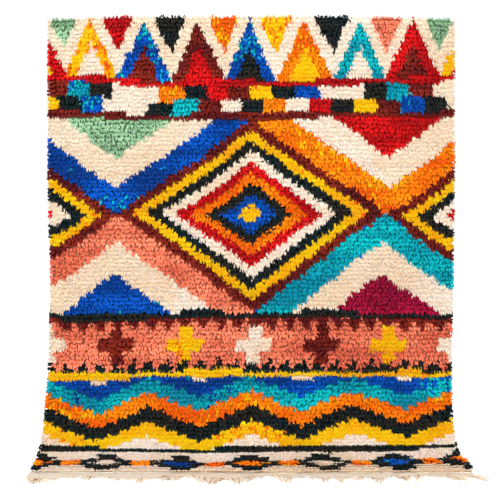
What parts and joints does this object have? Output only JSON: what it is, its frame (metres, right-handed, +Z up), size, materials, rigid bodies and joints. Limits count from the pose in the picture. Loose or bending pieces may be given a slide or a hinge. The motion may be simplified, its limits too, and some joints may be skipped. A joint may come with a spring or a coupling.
{
  "type": "hand-knotted shag rug",
  "caption": "Hand-knotted wool shag rug with a bright pattern, hung by its top edge, its lower end turned forward on the floor, with a bare end web and fringe.",
  "frame": {"origin": "on the floor, under the middle of the bounding box", "axes": "+Z up, the rug's face looks along -Y, +X to the right of a viewer who faces the rug"},
  "size_m": [1.6488, 0.4438, 1.7299],
  "materials": {
    "knotted_wool": "matt knotted wool pile in many colours",
    "bare_warp_wool": "matt undyed wool, flat woven, with loose warp ends"
  },
  "bodies": {
    "root": {"rug": "knotted_wool", "end_fringe": "bare_warp_wool"}
  },
  "joints": []
}
